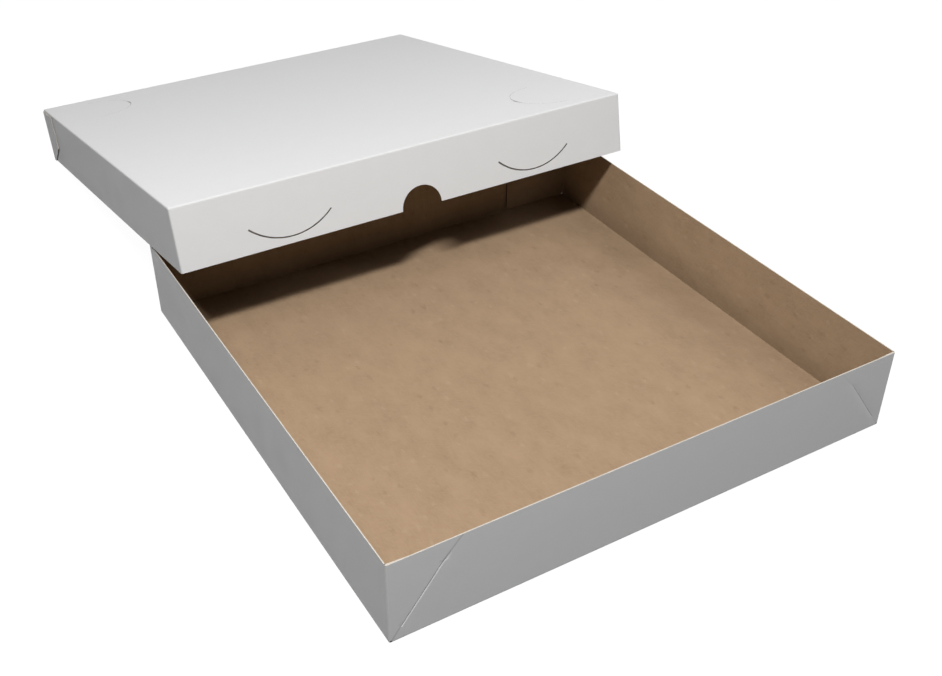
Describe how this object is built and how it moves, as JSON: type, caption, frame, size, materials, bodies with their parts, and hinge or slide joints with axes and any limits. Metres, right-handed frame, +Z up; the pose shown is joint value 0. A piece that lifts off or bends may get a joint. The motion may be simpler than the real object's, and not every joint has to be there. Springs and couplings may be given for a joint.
{
  "type": "pastry box",
  "caption": "Shallow square two-piece pastry box of folded board, white outside and kraft inside, its lid off and leaning on the tray.",
  "frame": {"origin": "middle of the tray's underside, on the surface that the box stands on", "axes": "+X to the right along the tray's front wall, +Y from the front wall to the back and on to the leaning lid, +Z up"},
  "size_m": [0.3018, 0.5501, 0.0984],
  "materials": {
    "tray_board": "smooth white coated outside, uncoated brown kraft inside",
    "lid_board": "smooth white coated outside, uncoated brown kraft inside"
  },
  "bodies": {
    "root": {"tray": "tray_board", "lid": "lid_board"}
  },
  "joints": []
}
